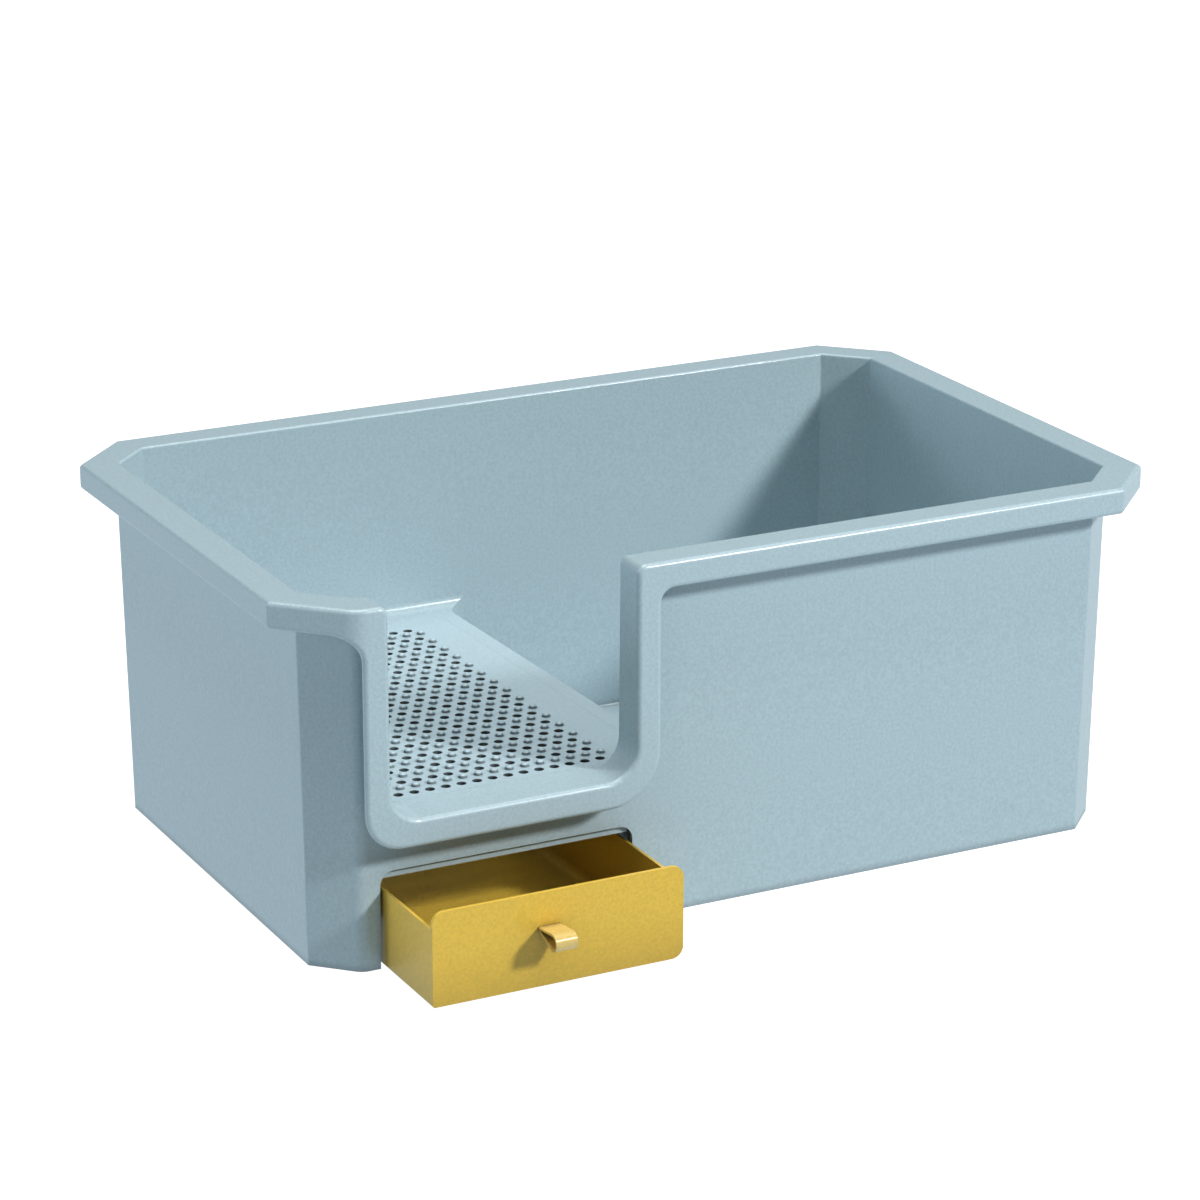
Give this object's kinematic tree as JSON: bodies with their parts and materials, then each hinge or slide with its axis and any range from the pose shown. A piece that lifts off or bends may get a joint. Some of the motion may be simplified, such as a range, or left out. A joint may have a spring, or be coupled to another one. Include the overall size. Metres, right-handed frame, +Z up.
{
  "type": "drawer litter box",
  "caption": "Open eight-sided litter tub with a turned-down rim, a low front entry, a perforated lift-out step plate and a drawer with a strap pull beneath it.",
  "frame": {"origin": "middle of the tub's footprint, on the plane that the tub stands on", "axes": "+X along the front to the right, +Y from the drawer side to the back, +Z up"},
  "size_m": [0.6, 0.4544, 0.235],
  "materials": {
    "tub_plastic": "fine-grained satin polypropylene, grey blue",
    "drawer_plastic": "fine-grained satin polypropylene, ochre yellow",
    "strap_plastic": "smooth flexible plastic band, ochre yellow",
    "runner_plastic": "plain slippery plastic, light grey",
    "screw_steel": "zinc-plated"
  },
  "bodies": {
    "tub_body": {"tub": "tub_plastic", "runner_left": "runner_plastic", "runner_right": "runner_plastic", "runner_screws": "screw_steel"},
    "step_plate_body": {"step_plate": "tub_plastic"},
    "drawer_body": {"drawer": "drawer_plastic", "pull_strap": "strap_plastic", "strap_rod": "screw_steel"}
  },
  "joints": [
    {"name": "drawer_slide", "type": "slide", "parent": "tub_body", "child": "drawer_body", "axis": [0, -1, 0], "range_m": [-0.0696, 0.17]},
    {"name": "step_plate_lift", "type": "slide", "parent": "tub_body", "child": "step_plate_body", "axis": [0, 0.0186, 0.9998], "range_m": [0, 0.12]}
  ]
}
